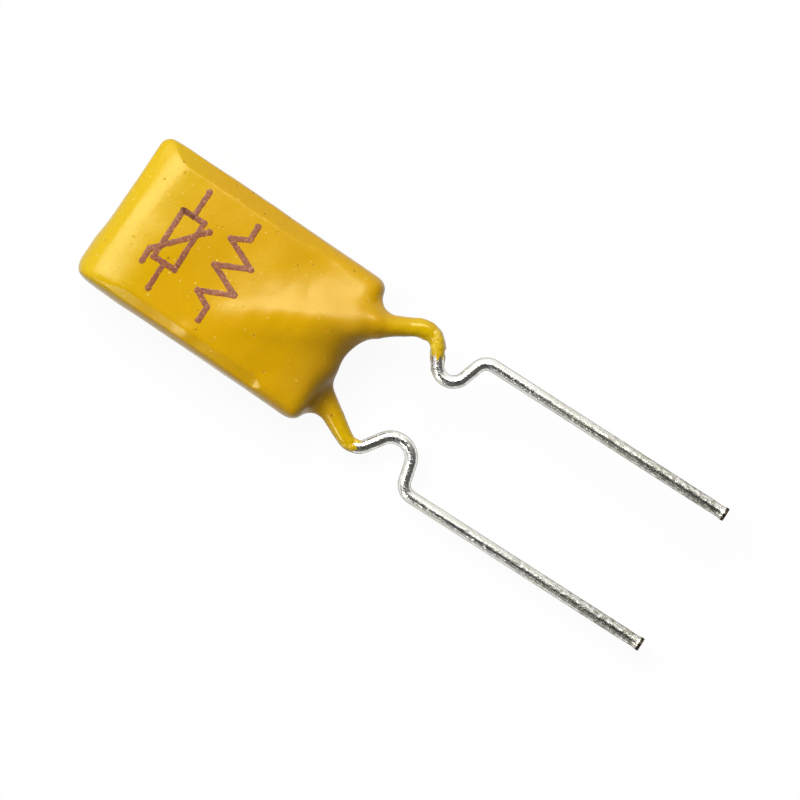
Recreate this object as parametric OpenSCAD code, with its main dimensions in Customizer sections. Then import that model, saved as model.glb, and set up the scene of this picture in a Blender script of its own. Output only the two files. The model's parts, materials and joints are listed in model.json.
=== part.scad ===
// Radial-leaded resettable fuse, lying on its rear face.
// A chip of conductive polymer is clad with a foil electrode on each face. A tinned wire is
// soldered across each foil, one on the front and one on the rear, and the whole is dipped in
// epoxy, which runs a little way down both kinked leads.
// X runs along the leads towards their tips, Y across them, Z up through the thickness.

/* [Chip] */
// Length of the chip, along the leads
chip_length = 7.4; // [6:0.1:9]
// Width of the chip, across the leads
chip_width = 4.3; // [3.6:0.1:5.4]
// Thickness of the conductive polymer
polymer_thickness = 0.65; // [0.5:0.01:0.9]
// Thickness of the foil electrode on each face
foil_thickness = 0.04; // [0.03:0.01:0.08]

/* [Epoxy coat] */
// Coat over each flat face of the chip
coat_face = 0.77; // [0.65:0.01:1]
// Coat beyond each long side of the chip
coat_side = 0.6; // [0.45:0.05:1]
// Coat beyond the chip at the crown, the end away from the leads
coat_crown = 0.9; // [0.7:0.05:1.4]
// Coat beyond the chip at the foot, the edge between the leads
coat_foot = 0.6; // [0.45:0.05:1]
// Width of the roll from face to outline at the crown
crown_roll = 2; // [1.4:0.05:2.4]
// Width of the roll from face to outline along the sides
side_roll = 0.4; // [0.3:0.05:0.8]
// Width of the roll from face to outline at the foot
foot_roll = 0.55; // [0.4:0.05:0.8]
// Corner radius of the outline
outline_corner = 0.5; // [0.3:0.05:0.7]
// Film of epoxy on the wire where the coat ends
neck_film = 0.06; // [0.05:0.01:0.1]
// Thickness of epoxy round the wire where it leaves the foot
neck_root = 0.2; // [0.15:0.01:0.26]
// Reach of the fillet where epoxy draws together between the body and the necks
fillet_reach = 0.75; // [0.5:0.05:0.9]
// Fall of each face from the ridge over its wire to the corners at the foot
corner_fall = 0.32; // [0:0.02:0.4]
// Turn of the body away from the line of the leads, in degrees
body_turn = 1.5; // [0:0.1:4]
// Sideways shift of the body from the middle of the leads, at the foot
body_shift = 0.2; // [0:0.05:0.5]

/* [Wire] */
// Diameter of the tinned wire
wire_d = 0.43; // [0.4:0.01:0.52]
// Pitch of the two leads, centre to centre
lead_pitch = 5.08; // [4.6:0.02:5.6]
// Length of each lead's straight end, from its last corner to the tip
lead_length = 9.35; // [7:0.05:14]
// Distance from the foot of the coat to that last corner
seat_standoff = 4; // [3.8:0.05:5]
// Length of wire from its inner end on the chip to its first corner
inner_length = 7; // [6:0.1:7.6]
// Angle at which each wire crosses the chip, from the line of the leads, in degrees
splay_angle = 30; // [24:1:34]
// Bend radius at the first corner, where the wire turns inwards
apex_radius = 0.55; // [0.4:0.05:0.6]
// Bend radius at the last corner, where the lead turns straight
seat_radius = 0.48; // [0.35:0.01:0.6]

/* [Front lead kink] */
// Distance from the first corner to the last, along the leads
front_apex_back = 1.88; // [1.7:0.02:2.1]
// How far the first corner lies outside the straight lead
front_apex_out = 0.06; // [-0.1:0.02:0.2]
// Distance from the dip's corner to the last corner, along the leads
front_dip_back = 0.63; // [0.5:0.01:0.75]
// How far the dip's corner lies inside the straight lead
front_dip_in = 1.93; // [1.8:0.01:2.2]
// Bend radius at the bottom of the dip
front_dip_radius = 0.52; // [0.4:0.02:0.56]
// Length of wire that the coat covers from the start of the first bend
front_coat_length = 1.1; // [0.3:0.05:1.3]

/* [Rear lead kink] */
// Distance from the first corner to the last, along the leads
rear_apex_back = 2.07; // [1.9:0.02:2.3]
// How far the first corner lies outside the straight lead
rear_apex_out = -0.21; // [-0.3:0.01:0]
// Distance from the dip's corner to the last corner, along the leads
rear_dip_back = 0.6; // [0.5:0.01:0.75]
// How far the dip's corner lies inside the straight lead
rear_dip_in = 2.35; // [2.2:0.01:2.5]
// Bend radius at the bottom of the dip
rear_dip_radius = 0.68; // [0.5:0.02:0.72]
// Length of wire that the coat covers from the start of the first bend
rear_coat_length = 0.3; // [0.3:0.05:1.1]

/* [Solder] */
// Length of each solder joint, along its wire
solder_length = 3; // [2:0.1:3.4]
// Distance from the wire's inner end to the start of the joint
solder_inset = 0.3; // [0.1:0.05:0.6]
// Width of the joint where it wets the foil
solder_width = 1.1; // [0.8:0.05:1.4]
// Solder between the foil and the underside of the wire
solder_bed = 0.04; // [0.03:0.01:0.08]
// Height of the joint up the side of the wire
solder_height = 0.32; // [0.26:0.01:0.4]

/* [Hidden] */
$fn = 48;

FRONT = 1;
REAR = -1;

// The stack through the thickness, measured from the chip's middle plane
wire_r = wire_d / 2;
stack_half = polymer_thickness / 2 + foil_thickness;
wire_height = stack_half + solder_bed + wire_r;
face_half = stack_half + coat_face;
// The coat stands up in a ridge where the fillet meets a wire under the face
roll_height = face_half - 0.1;
// The roll round a corner of the outline, and how sharply two rolls meet in a hip
corner_roll = 0.25;
hip = 8;
ridge_gap = face_half - wire_height - wire_r - neck_root;
ridge_half = face_half + pow(max(0, fillet_reach - abs(ridge_gap)), 2) / fillet_reach / 4;

// The coat's plan, with the foot on X = 0 and the crown at negative X
body_half_width = chip_width / 2 + coat_side;
body_length = chip_length + coat_crown + coat_foot;
seat_x = seat_standoff;
tip_x = seat_x + lead_length;
frame_shift = [(body_length - tip_x) / 2, 0, ridge_half];

bend_step = 15;
wire_points = 24;
// The bent part is a hair slimmer than the straight end and runs a little way into it
bend_r = 0.99 * wire_r;
bend_sink = 0.05;
// Grid on which the coat's surface is traced, fine along X at the crown and over the necks
coat_margin = 0.4;
coat_tip = max([for (side = [FRONT, REAR]) for (s = neck_spine(side)) s[0].x]) + wire_r;
crown_end = crown_roll - body_length;
foot_start = -1.1;
grid_x = concat(span(-body_length - coat_margin, crown_end, 13),
                span(crown_end, foot_start, 9, 1),
                span(foot_start, coat_tip + coat_margin, 28, 1));
grid_y = span(-body_half_width - 0.7, body_half_width + 0.7, 38);
grid_z = span(-ridge_half - 0.25, ridge_half + 0.25, 17);

function unit(v) = v / norm(v);
function turned(v, angle) = [v.x * cos(angle) - v.y * sin(angle),
                             v.x * sin(angle) + v.y * cos(angle)];
function heading(v) = atan2(v.y, v.x);
function span(low, high, steps, first = 0) =
    [for (i = [first : steps]) mix(low, high, i / steps)];
function mix(a, b, t) = a + (b - a) * t;
function smooth_step(t) = let (c = max(0, min(1, t))) c * c * (3 - 2 * c);

// A lead's corners before bending, from the tip to the inner end on the chip
function apex(side) =
    let (back = side == FRONT ? front_apex_back : rear_apex_back,
         out = side == FRONT ? front_apex_out : rear_apex_out)
    [seat_x - back, side * (lead_pitch / 2 + out)];
function dip(side) =
    let (back = side == FRONT ? front_dip_back : rear_dip_back,
         inward = side == FRONT ? front_dip_in : rear_dip_in)
    [seat_x - back, side * (lead_pitch / 2 - inward)];
function inner_end(side) =
    apex(side) - inner_length * [cos(splay_angle), side * sin(splay_angle)];
function corners(side) = [[tip_x, side * lead_pitch / 2], [seat_x, side * lead_pitch / 2],
                          dip(side), apex(side), inner_end(side)];
function bend_radii(side) =
    [seat_radius, side == FRONT ? front_dip_radius : rear_dip_radius, apex_radius];
function coat_length(side) = side == FRONT ? front_coat_length : rear_coat_length;

// Turn at each inner corner of a path, positive to the left
function turns(path) = [for (i = [1 : len(path) - 2])
    let (change = heading(path[i + 1] - path[i]) - heading(path[i] - path[i - 1]))
    change - 360 * round(change / 360)];
// What each bend takes off the straight runs that meet at its corner
function setbacks(path, radii) =
    concat([0], [for (i = [0 : len(radii) - 1]) radii[i] * tan(abs(turns(path)[i]) / 2)], [0]);

// A ring of points around a wire at a place on its plan, square to a heading
function wire_ring(place, angle, r, z) = [for (j = [0 : wire_points - 1])
    let (a = 360 * j / wire_points, p = place + turned([0, r * sin(a)], angle))
    [p.x, p.y, z + r * cos(a)]];

// A round wire along a path: its first run is a plain cylinder, and the rest is one skin sunk into it
module bent_wire(path, radii, z) {
    taken = setbacks(path, radii);
    first = path[1] - path[0];
    straight = norm(first) - taken[1];
    translate([path[0].x, path[0].y, z]) rotate([0, 0, heading(first)]) rotate([0, 90, 0])
        cylinder(r = wire_r, h = straight);
    bends = [for (i = [1 : len(path) - 2])
        let (along = heading(path[i] - path[i - 1]), turn = turns(path)[i - 1],
             r = sign(turn) * radii[i - 1], centre = path[i] + turned([-taken[i], r], along),
             steps = ceil(abs(turn) / bend_step))
        for (k = [0 : steps])
            let (a = along + turn * k / steps) [centre + turned([0, -r], a), a]];
    last = len(path) - 1;
    stations = concat([[path[0] + (straight - bend_sink) * unit(first), heading(first)]], bends,
                      [[path[last], heading(path[last] - path[last - 1])]]);
    skin([for (s = stations) wire_ring(s[0], s[1], bend_r, z)]);
}

module lead_wire(side) {
    bent_wire(corners(side), bend_radii(side), side * wire_height);
}

// A plain slab in the body's own turned frame, with the foot of the coat on X = 0
module in_body_frame() {
    translate([0, body_shift, 0]) rotate([0, 0, -body_turn]) children();
}

module chip_slab(low, high) {
    in_body_frame()
        translate([-coat_foot - chip_length, -chip_width / 2, low])
            cube([chip_length, chip_width, high - low]);
}

module polymer_slab() {
    chip_slab(-polymer_thickness / 2, polymer_thickness / 2);
}

module foil_sheet(side) {
    chip_slab(side == FRONT ? polymer_thickness / 2 : -stack_half,
              side == FRONT ? stack_half : -polymer_thickness / 2);
}

// A solder joint: a low mound along the wire, wide where it wets the foil
module solder_mound(side) {
    start = inner_end(side);
    shoulder = wire_r + (solder_width / 2 - wire_r) / 4;
    mirror([0, 0, side == FRONT ? 0 : 1])
        translate([start.x, start.y, stack_half]) rotate([0, 0, side * splay_angle])
            translate([solder_inset, 0, 0]) rotate([90, 0, 90]) linear_extrude(solder_length)
                polygon([[-solder_width / 2, 0], [solder_width / 2, 0],
                         [shoulder, solder_height / 2], [wire_r, solder_height],
                         [-wire_r, solder_height], [-shoulder, solder_height / 2]]);
}

// A closed skin over rings that all have the same number of points
module skin(rings) {
    count = len(rings[0]);
    last = len(rings) - 1;
    quads = [for (i = [0 : last - 1], j = [0 : count - 1])
        let (k = (j + 1) % count)
        [i * count + j, i * count + k, (i + 1) * count + k, (i + 1) * count + j]];
    polyhedron(points = [for (ring = rings) each ring],
               faces = concat([for (q = quads) each [[q[0], q[1], q[2]], [q[0], q[2], q[3]]]],
                              [[for (j = [count - 1 : -1 : 0]) j]],
                              [[for (j = [0 : count - 1]) last * count + j]]));
}

// Distance from a point in the body's frame to the outline of the coated body, negative inside
function outline_distance(p) =
    let (half = [body_length / 2, body_half_width],
         q = [abs(p.x + half.x) - half.x + outline_corner, abs(p.y) - half.y + outline_corner])
    min(max(q.x, q.y), 0) + norm([max(q.x, 0), max(q.y, 0)]) - outline_corner;

// How far the face of one side has fallen at a place on the plan: none on the ridge over its wire
function face_fall(p, side) =
    let (across = abs(turned([p.x, p.y] - inner_end(side), -side * splay_angle).y))
    corner_fall * smooth_step((p.x - inner_end(side).x) / -inner_end(side).x) * smooth_step(across / 2);

// How far a place lies down the roll at an edge: 0 on the flat face, 1 on the outline
function rolled(to_edge, roll) = max(0, 1 - to_edge / roll);
function roll_share(q) =
    let (ends = [rolled(q.x + body_length, crown_roll), rolled(-q.x, foot_roll)],
         side = rolled(body_half_width - abs(q.y), side_roll),
         corner = rolled(-outline_distance(q), corner_roll))
    max(corner, pow(pow(ends[0], hip) + pow(ends[1], hip) + pow(side, hip), 1 / hip));

// Field of the coated body: a flat slab whose edges roll over, broadly at the crown
function body_field(p) =
    let (q = turned([p.x, p.y - body_shift], body_turn),
         height = roll_height - face_fall(p, p.z > 0 ? FRONT : REAR),
         lift = max(0, abs(p.z) - face_half + roll_height))
    norm([height * roll_share(q), lift]) - height;

// The coated wire of one lead: [place, radius] from its inner end to the end of the coat
function neck_spine(side) =
    let (path = corners(side), along = heading(apex(side) - inner_end(side)),
         turn = -turns(path)[2], r = sign(turn) * apex_radius,
         setback = setbacks(path, bend_radii(side))[3],
         centre = apex(side) + turned([-setback, r], along),
         arc = abs(turn) * PI / 180 * apex_radius,
         covered = turn * min(1, coat_length(side) / arc),
         beyond = coat_length(side) - arc,
         z = side * wire_height, root = wire_r + neck_root, slim = wire_r + neck_film,
         foot = apex(side) - turned([apex(side).x / cos(along), 0], along))
    [for (s = concat([[inner_end(side), wire_r + 0.02],
                      [mix(inner_end(side), foot, 0.45), root], [foot, root]],
                     [for (k = [0 : 3])
                         [centre + turned([0, -r], along + covered * k / 3), mix(slim + 0.03, slim, k / 3)]],
                     [if (beyond > 0.01)
                         [apex(side) + (setback + beyond) * unit(dip(side) - apex(side)), slim]]))
        [[s[0].x, s[0].y, z], s[1]]];

// Distance from a point to the skin of a tapered round bar
function bar_field(p, a, b) =
    let (run = b[0] - a[0], t = max(0, min(1, (p - a[0]) * run / (run * run))))
    norm(p - a[0] - t * run) - mix(a[1], b[1], t);
function spine_field(p, spine) = min([for (i = [1 : len(spine) - 1]) bar_field(p, spine[i - 1], spine[i])]);

// Two fields drawn together with a fillet between them
function drawn(a, b) = min(a, b) - pow(max(0, fillet_reach - abs(a - b)), 2) / fillet_reach / 4;

// The coat's skin, traced where the field changes sign: a point in each grid cell that it
// crosses, and a face across each grid edge that it crosses
module coat_skin() {
    nx = len(grid_x) - 1;
    ny = len(grid_y) - 1;
    nz = len(grid_z) - 1;
    front = neck_spine(FRONT);
    rear = neck_spine(REAR);
    field = [for (x = grid_x) [for (y = grid_y) [for (z = grid_z)
        let (p = [x, y, z])
        drawn(drawn(body_field(p), spine_field(p, front)), spine_field(p, rear))]]];
    function at(i, j, k) = [grid_x[i], grid_y[j], grid_z[k]];
    function crossing(a, b) =
        let (fa = field[a.x][a.y][a.z], fb = field[b.x][b.y][b.z])
        mix(at(a.x, a.y, a.z), at(b.x, b.y, b.z), fa / (fa - fb));
    function inside(a) = field[a.x][a.y][a.z] < 0;
    function cell_edges(i, j, k) = [for (u = [0, 1], v = [0, 1]) each [
        [[i, j + u, k + v], [i + 1, j + u, k + v]],
        [[i + u, j, k + v], [i + u, j + 1, k + v]],
        [[i + u, j + v, k], [i + u, j + v, k + 1]]]];
    cells = [for (i = [0 : nx - 1], j = [0 : ny - 1], k = [0 : nz - 1])
        [for (e = cell_edges(i, j, k)) if (inside(e[0]) != inside(e[1])) crossing(e[0], e[1])]];
    order = [for (n = 0, c = 0; c < len(cells); n = n + (len(cells[c]) > 0 ? 1 : 0), c = c + 1) n];
    places = [for (c = cells) if (len(c) > 0) [for (w = [1 : len(c)]) 1] * c / len(c)];
    function cell(i, j, k) = order[(i * ny + j) * nz + k];
    function facing(quad, flip) = flip ? [quad[3], quad[2], quad[1], quad[0]] : quad;
    faces = [for (i = [1 : nx - 1], j = [1 : ny - 1], k = [1 : nz - 1]) let (here = inside([i, j, k])) each [
        if (here != inside([i + 1, j, k]))
            facing([cell(i, j - 1, k - 1), cell(i, j, k - 1), cell(i, j, k), cell(i, j - 1, k)], here),
        if (here != inside([i, j + 1, k]))
            facing([cell(i - 1, j, k - 1), cell(i - 1, j, k), cell(i, j, k), cell(i, j, k - 1)], here),
        if (here != inside([i, j, k + 1]))
            facing([cell(i - 1, j - 1, k), cell(i, j - 1, k), cell(i, j, k), cell(i - 1, j, k)], here)]];
    polyhedron(points = places,
               faces = [for (q = faces) each [[q[0], q[1], q[2]], [q[0], q[2], q[3]]]]);
}

module placed() {
    translate(frame_shift) children();
}

module polymer_chip() {
    color("dimgray") placed() polymer_slab();
}

module foil(side) {
    color("silver") placed() foil_sheet(side);
}

module solder(side) {
    color("lightsteelblue") placed() difference() {
        solder_mound(side);
        lead_wire(side);
    }
}

module lead(side) {
    color("gainsboro") placed() lead_wire(side);
}

module epoxy_coat() {
    color("goldenrod") placed() difference() {
        coat_skin();
        polymer_slab();
        for (side = [FRONT, REAR]) {
            foil_sheet(side);
            solder_mound(side);
            lead_wire(side);
        }
    }
}

polymer_chip();
foil(FRONT);  // front_foil
foil(REAR);  // rear_foil
solder(FRONT);  // front_solder
solder(REAR);  // rear_solder
lead(FRONT);  // front_lead
lead(REAR);  // rear_lead
epoxy_coat();
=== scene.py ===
# %% [markdown]
# A resettable fuse, dressed for its picture
#
# The real object is a little protection component for circuit boards. A chip of black polymer
# is soldered between two tinned wires, and the whole is dipped in yellow epoxy. It is about two
# centimetres long with its wires, so what the eye reads is the way light runs over a thick,
# glossy, slightly uneven coat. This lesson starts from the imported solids, which fix every size
# and place, and builds a finer skin, smoother wires and the finishes around them.

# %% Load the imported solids
import json
import math

import bmesh
import bpy
from mathutils import Matrix, Vector, noise
from mathutils.bvhtree import BVHTree
from mathutils.kdtree import KDTree

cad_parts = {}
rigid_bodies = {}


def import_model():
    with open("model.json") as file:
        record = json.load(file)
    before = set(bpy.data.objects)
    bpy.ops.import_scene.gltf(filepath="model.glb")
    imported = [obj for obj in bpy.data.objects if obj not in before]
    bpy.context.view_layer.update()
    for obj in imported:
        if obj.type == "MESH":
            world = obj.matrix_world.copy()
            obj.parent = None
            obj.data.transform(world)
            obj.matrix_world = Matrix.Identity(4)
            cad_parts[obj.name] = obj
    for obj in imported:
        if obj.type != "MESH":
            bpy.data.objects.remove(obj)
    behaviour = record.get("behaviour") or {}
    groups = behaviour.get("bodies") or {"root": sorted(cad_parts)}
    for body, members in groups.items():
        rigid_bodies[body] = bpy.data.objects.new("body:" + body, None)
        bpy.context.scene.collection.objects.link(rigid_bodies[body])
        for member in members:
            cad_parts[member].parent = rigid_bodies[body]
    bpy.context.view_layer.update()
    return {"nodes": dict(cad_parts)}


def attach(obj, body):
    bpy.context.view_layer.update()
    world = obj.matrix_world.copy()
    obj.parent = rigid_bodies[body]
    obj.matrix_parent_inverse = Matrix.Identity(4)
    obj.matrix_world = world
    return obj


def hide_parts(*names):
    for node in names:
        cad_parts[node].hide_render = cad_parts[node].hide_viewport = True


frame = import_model()
nodes = frame["nodes"]

# %% [markdown]
# Working in millimetres
#
# Blender's tools are happiest with things about a metre across: merging, remeshing and
# bevelling all use small fixed distances. So each piece is modelled a thousand times too big,
# one unit to a millimetre, and shrunk when it is done. Only the finishes, which are mixed
# after that, read real metres.

# %% One unit to a millimetre
MM = 0.001
MERGE_GAP = 0.0005
MIDDLE = Vector((-2.225, 0, 1.2758))
print("the middle of the coat's foot is at", tuple(round(v, 4) for v in MIDDLE))

# %% [markdown]
# The route of each wire
#
# A lead maker bends wire between pegs, so a lead is best described by the sharp corners that
# it would have with no bend radius, and a radius for each. These are the same corners as in
# the solids: the tip, the seat where the lead turns straight, the dip of the kink, the apex
# next to the coat, and the inner end that is soldered to the chip. They are measured from the
# foot of the coat.

# %% Corners and bends of the two leads
WIRE_RADIUS = 0.215
LEAD_PITCH = 5.08
LEAD_LENGTH = 9.35
SEAT_X = 4.0
INNER_LENGTH = 7.0
SPLAY = math.radians(30)
WIRE_HEIGHT = 0.62
KINKS = {
    "front": {"side": 1, "apex": (1.88, 0.06), "dip": (0.63, 1.93), "radii": (0.48, 0.52, 0.55)},
    "rear": {"side": -1, "apex": (2.07, -0.21), "dip": (0.6, 2.35), "radii": (0.48, 0.68, 0.55)},
}


def lead_corners(kink):
    side = kink["side"]
    half = LEAD_PITCH / 2
    back, out = kink["apex"]
    dip_back, dip_in = kink["dip"]
    apex = Vector((SEAT_X - back, side * (half + out), 0))
    inner = apex - INNER_LENGTH * Vector((math.cos(SPLAY), side * math.sin(SPLAY), 0))
    flat = [
        Vector((SEAT_X + LEAD_LENGTH, side * half, 0)),
        Vector((SEAT_X, side * half, 0)),
        Vector((SEAT_X - dip_back, side * (half - dip_in), 0)),
        apex,
        inner,
    ]
    lift = MIDDLE + Vector((0, 0, side * WIRE_HEIGHT))
    return [corner + lift for corner in flat]


for name, kink in KINKS.items():
    print(name, "corners", [tuple(round(v, 2) for v in c) for c in lead_corners(kink)])

# %% [markdown]
# The leads
#
# Each lead is drawn as by hand: a circle is stood at the tip, pulled along the straight end,
# spun round each bend and pulled along each run between. A curve with a bevel would be
# quicker, but the spin keeps every ring square to the wire and leaves a plain mesh that can
# be worked further. The cutter leaves a small flared lip at the tip, so the first rings are a
# touch wider than the wire, and the next a touch narrower.

# %% Start a wire at its tip
WIRE_SIDES = 36
TIP_RINGS = (
    {"back": 0.0, "wide": 1.0},
    {"back": 0.012, "wide": 1.08},
    {"back": 0.1, "wide": 1.08},
    {"back": 0.115, "wide": 1.06},
    {"back": 0.21, "wide": 0.95},
    {"back": 0.4, "wide": 0.97},
    {"back": 0.7, "wide": 1.0},
)


def deselect_everything():
    if bpy.context.object and bpy.context.object.mode != "OBJECT":
        bpy.ops.object.mode_set(mode="OBJECT")
    bpy.ops.object.select_all(action="DESELECT")


def pull(step):
    bpy.ops.mesh.extrude_region_move(TRANSFORM_OT_translate={"value": step})


def start_wire(name, tip):
    deselect_everything()
    upright = (0, math.pi / 2, 0)
    bpy.ops.mesh.primitive_circle_add(
        vertices=WIRE_SIDES, radius=WIRE_RADIUS, fill_type="NOTHING", location=tip, rotation=upright)
    wire = bpy.context.object
    wire.name = name
    bpy.ops.object.transform_apply(location=True, rotation=True, scale=True)
    bpy.ops.object.mode_set(mode="EDIT")
    bpy.ops.mesh.select_all(action="SELECT")
    here = tip.copy()
    for last, ring in zip(TIP_RINGS, TIP_RINGS[1:]):
        step = Vector((last["back"] - ring["back"], 0, 0))
        pull(step)
        here += step
        grow = ring["wide"] / last["wide"]
        bpy.ops.transform.resize(value=(1, grow, grow), center_override=here)
    return wire, here


print("a wire has", WIRE_SIDES, "sides and", len(TIP_RINGS), "rings at its tip")

# %% Bend it at each corner
BEND_STEP = 6
FEWEST_STEPS = 4
END_REACH = 1.05
SHARP_EDGE = math.radians(35)


def select_open_end(mesh, place):
    bm = bmesh.from_edit_mesh(mesh)
    for vert in bm.verts:
        vert.select = (vert.co - place).length < WIRE_RADIUS * END_REACH
    bm.select_flush_mode()
    bmesh.update_edit_mesh(mesh)


def bend(wire, here, before, corner, after, radius):
    heading = (corner - before).normalized()
    onward = (after - corner).normalized()
    turn = heading.xy.angle_signed(onward.xy)
    setback = radius * math.tan(abs(turn) / 2)
    bend_start = corner - heading * setback
    pull(bend_start - here)
    left = Vector((-heading.y, heading.x, 0))
    centre = bend_start - left * radius * math.copysign(1, turn)
    steps = max(FEWEST_STEPS, int(math.degrees(abs(turn)) / BEND_STEP))
    bpy.ops.mesh.spin(steps=steps, angle=turn, center=centre, axis=(0, 0, 1))
    bend_end = corner + onward * setback
    select_open_end(wire.data, bend_end)
    return bend_end


def draw_lead(name, kink):
    corners = lead_corners(kink)
    wire, here = start_wire(name, corners[0])
    for i, radius in enumerate(kink["radii"], start=1):
        here = bend(wire, here, corners[i - 1], corners[i], corners[i + 1], radius)
    pull(corners[-1] - here)
    bpy.ops.mesh.select_all(action="SELECT")
    bpy.ops.mesh.remove_doubles(threshold=MERGE_GAP)
    bpy.ops.mesh.fill_holes(sides=0)
    bpy.ops.mesh.normals_make_consistent(inside=False)
    bpy.ops.object.mode_set(mode="OBJECT")
    bpy.ops.object.shade_smooth_by_angle(angle=SHARP_EDGE)
    return wire


leads = {name: draw_lead(name + "_lead_wire", kink) for name, kink in KINKS.items()}
for wire in leads.values():
    low = [round(min(v.co[k] for v in wire.data.vertices), 3) for k in range(3)]
    high = [round(max(v.co[k] for v in wire.data.vertices), 3) for k in range(3)]
    print(wire.name, "from", low, "to", high)

# %% [markdown]
# The dipped coat
#
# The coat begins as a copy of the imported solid, which already flows from the body into the
# necks. The copy is loose triangles, so they are merged first, and the faces that line the
# hidden cavity are taken away, because a closed outer skin is all that shows. A voxel remesh
# then spreads small even faces over it. Between remeshes the skin is swollen and shrunk again,
# which fills tight inner corners as wet epoxy does.

# %% Copy the coat


def make_active(piece):
    deselect_everything()
    piece.select_set(True)
    bpy.context.view_layer.objects.active = piece


def resize_piece(piece, factor):
    make_active(piece)
    piece.scale = (factor, factor, factor)
    bpy.ops.object.transform_apply(location=True, rotation=True, scale=True)


def copy_of(node, name):
    make_active(nodes[node])
    bpy.ops.object.duplicate()
    piece = bpy.context.object
    piece.name = name
    piece.data.materials.clear()
    resize_piece(piece, 1 / MM)
    bpy.ops.object.mode_set(mode="EDIT")
    bpy.ops.mesh.select_all(action="SELECT")
    bpy.ops.mesh.remove_doubles(threshold=MERGE_GAP)
    bpy.ops.object.mode_set(mode="OBJECT")
    return piece


coat = copy_of("epoxy_coat", "dipped_coat")
print("copied", len(coat.data.polygons), "faces")

# %% Take the lining away
LINING_GAP = 0.004


def surface_of(mesh, factor=1.0):
    bm = bmesh.new()
    bm.from_mesh(mesh)
    bm.transform(Matrix.Scale(factor, 4))
    surface = BVHTree.FromBMesh(bm)
    bm.free()
    return surface


insides = [surface_of(nodes[name].data, 1 / MM) for name in nodes if name != "epoxy_coat"]
make_active(coat)
bpy.ops.object.mode_set(mode="EDIT")
bm = bmesh.from_edit_mesh(coat.data)
lining = 0
for face in bm.faces:
    middle = face.calc_center_median()
    face.select = any(inside.find_nearest(middle)[3] < LINING_GAP for inside in insides)
    lining += face.select
bmesh.update_edit_mesh(coat.data)
bpy.ops.mesh.delete(type="FACE")
print("took away", lining, "faces of the lining")

# %% Keep the outer skin and close its two ends


def select_crown_island(mesh):
    bm = bmesh.from_edit_mesh(mesh)
    seed = min(bm.faces, key=lambda face: face.calc_center_median().x)
    for face in bm.faces:
        face.select = face == seed
    bmesh.update_edit_mesh(mesh)
    bpy.ops.mesh.select_linked()


def cap_open_end(mesh, side):
    bm = bmesh.from_edit_mesh(mesh)
    for edge in bm.edges:
        edge.select = edge.is_boundary and edge.verts[0].co.y * side > 0
    bmesh.update_edit_mesh(mesh)
    bpy.ops.mesh.extrude_edges_move()
    bpy.ops.mesh.merge(type="CENTER")


bpy.ops.mesh.select_mode(type="FACE")
select_crown_island(coat.data)
bpy.ops.mesh.select_all(action="INVERT")
bpy.ops.mesh.delete(type="FACE")
bpy.ops.mesh.select_mode(type="EDGE")
for kink in KINKS.values():
    cap_open_end(coat.data, kink["side"])
bpy.ops.mesh.select_mode(type="VERT")
bpy.ops.mesh.select_all(action="SELECT")
bpy.ops.mesh.normals_make_consistent(inside=False)
bpy.ops.object.mode_set(mode="OBJECT")
print("outer skin", len(coat.data.polygons), "faces")

# %% Let the skin settle
VOXEL = 0.05
FLOW = 0.5


def apply_modifier(piece, kind, **settings):
    modifier = piece.modifiers.new(kind.lower(), kind)
    for key, value in settings.items():
        setattr(modifier, key, value)
    make_active(piece)
    bpy.ops.object.modifier_apply(modifier=modifier.name)


def smooth_coat(passes, **limits):
    apply_modifier(coat, "SMOOTH", factor=0.5, iterations=passes, **limits)


def swell_coat(thickness):
    apply_modifier(coat, "DISPLACE", strength=thickness, mid_level=0.0)


def settle_coat(passes):
    apply_modifier(coat, "REMESH", mode="VOXEL", voxel_size=VOXEL, adaptivity=0.0)
    smooth_coat(passes)


settle_coat(6)
swell_coat(FLOW)
settle_coat(6)
swell_coat(-FLOW)
settle_coat(8)
print("coat skin", len(coat.data.polygons), "faces")

# %% [markdown]
# The roof, the flat bevels and the waves
#
# The front face isn't flat. It has a crest like a low roof's, which follows the buried wire
# away from the neck and then runs on to the crown, and the face falls away on one side of it.
# The fall is a soft push on every point past the crest, and a low roll stands across the crown
# end. Along both long edges the dip also left a flat bevel with a clear inner line. It is
# pressed in: each point that stands above a sloping limit is moved straight down to it, as a
# flattening brush would. Wet epoxy is never quite even either, so a cloud texture then lifts
# and lowers the skin by a few hundredths of a millimetre, just enough to break up the highlights.

# %% Places in the body's own directions
FACE_HEIGHT = 1.135
BODY_TURN = math.radians(1.5)
BODY_SHIFT = 0.2


def smooth_step(t):
    t = min(1.0, max(0.0, t))
    return t * t * (3 - 2 * t)


def ramp(value, ends):
    return smooth_step((value - ends[0]) / (ends[1] - ends[0]))


def bell(t):
    return math.exp(-t * t)


def front_share(place):
    return ramp(place.z, (MIDDLE.z, MIDDLE.z + FACE_HEIGHT))


def in_body(place):
    x = place.x - MIDDLE.x
    y = place.y - BODY_SHIFT
    along = x * math.cos(BODY_TURN) - y * math.sin(BODY_TURN)
    across = x * math.sin(BODY_TURN) + y * math.cos(BODY_TURN)
    return along, across


print("in the body's directions the foot's middle is at", [round(v, 3) for v in in_body(MIDDLE)])

# %% Measure the roof and the crown's roll
HALF_WIDTH = 2.75
CREST_AT_FOOT = 1.27
CREST_AT_CROWN = -0.2
CREST_SOFT = 0.5
ROOF_TILT = math.radians(8)
CROWN_ROLL = {"along": -8.35, "slant": 0.2, "width": 0.62, "height": 0.095}


def soft_corner(t):
    return (math.hypot(t, CREST_SOFT) + t) / 2


def roof_fall(along, across):
    crest = CREST_AT_CROWN + soft_corner(CREST_AT_FOOT - CREST_AT_CROWN + along * math.tan(SPLAY))
    return soft_corner(across - crest) * math.tan(ROOF_TILT)


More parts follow.
